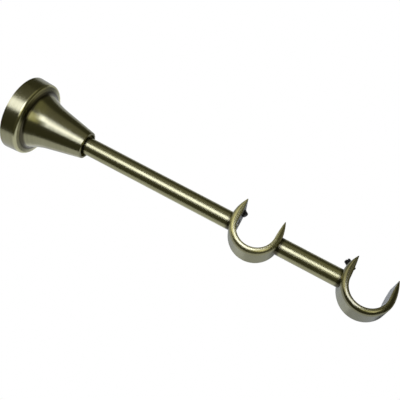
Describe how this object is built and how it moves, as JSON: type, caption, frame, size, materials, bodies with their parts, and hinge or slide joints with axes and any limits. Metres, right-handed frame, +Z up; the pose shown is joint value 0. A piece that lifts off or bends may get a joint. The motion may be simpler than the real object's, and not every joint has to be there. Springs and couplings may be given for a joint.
{
  "type": "double curtain pole bracket",
  "caption": "Wall bracket with a bell-shaped rose and a round arm that carries open cups for parallel curtain poles, each locked by a slotted screw.",
  "frame": {"origin": "centre of the wall plate's back face, on the wall", "axes": "+X along the arm, away from the wall; +Y along the poles; +Z up, the way the cups open"},
  "size_m": [0.1813, 0.035, 0.035],
  "materials": {
    "rose": "satin, antique brass plating brushed round the axis",
    "rods": "satin, antique brass plating drawn along the rod",
    "cups": "satin, antique brass plating",
    "locking_screws": "black oxide, matt",
    "plate": "bright zinc plating"
  },
  "bodies": {
    "bracket": {"wall_plate": "plate", "plate_screw": "plate", "arm_rod": "rods", "inner_cup": "cups", "spacer_rod": "rods", "end_cup": "cups"},
    "rose": {"wall_rose": "rose"},
    "inner_lock": {"inner_locking_screw": "locking_screws"},
    "end_lock": {"end_locking_screw": "locking_screws"}
  },
  "joints": [
    {"name": "rose_slide", "type": "slide", "parent": "bracket", "child": "rose", "axis": [1, 0, 0], "range_m": [0, 0.072]},
    {"name": "inner_lock_feed", "type": "slide", "parent": "bracket", "child": "inner_lock", "axis": [0.8192, 0, -0.5736], "range_m": [-0.0019, 0.0015]},
    {"name": "end_lock_feed", "type": "slide", "parent": "bracket", "child": "end_lock", "axis": [0.8192, 0, -0.5736], "range_m": [-0.0007, 0.0027]}
  ]
}
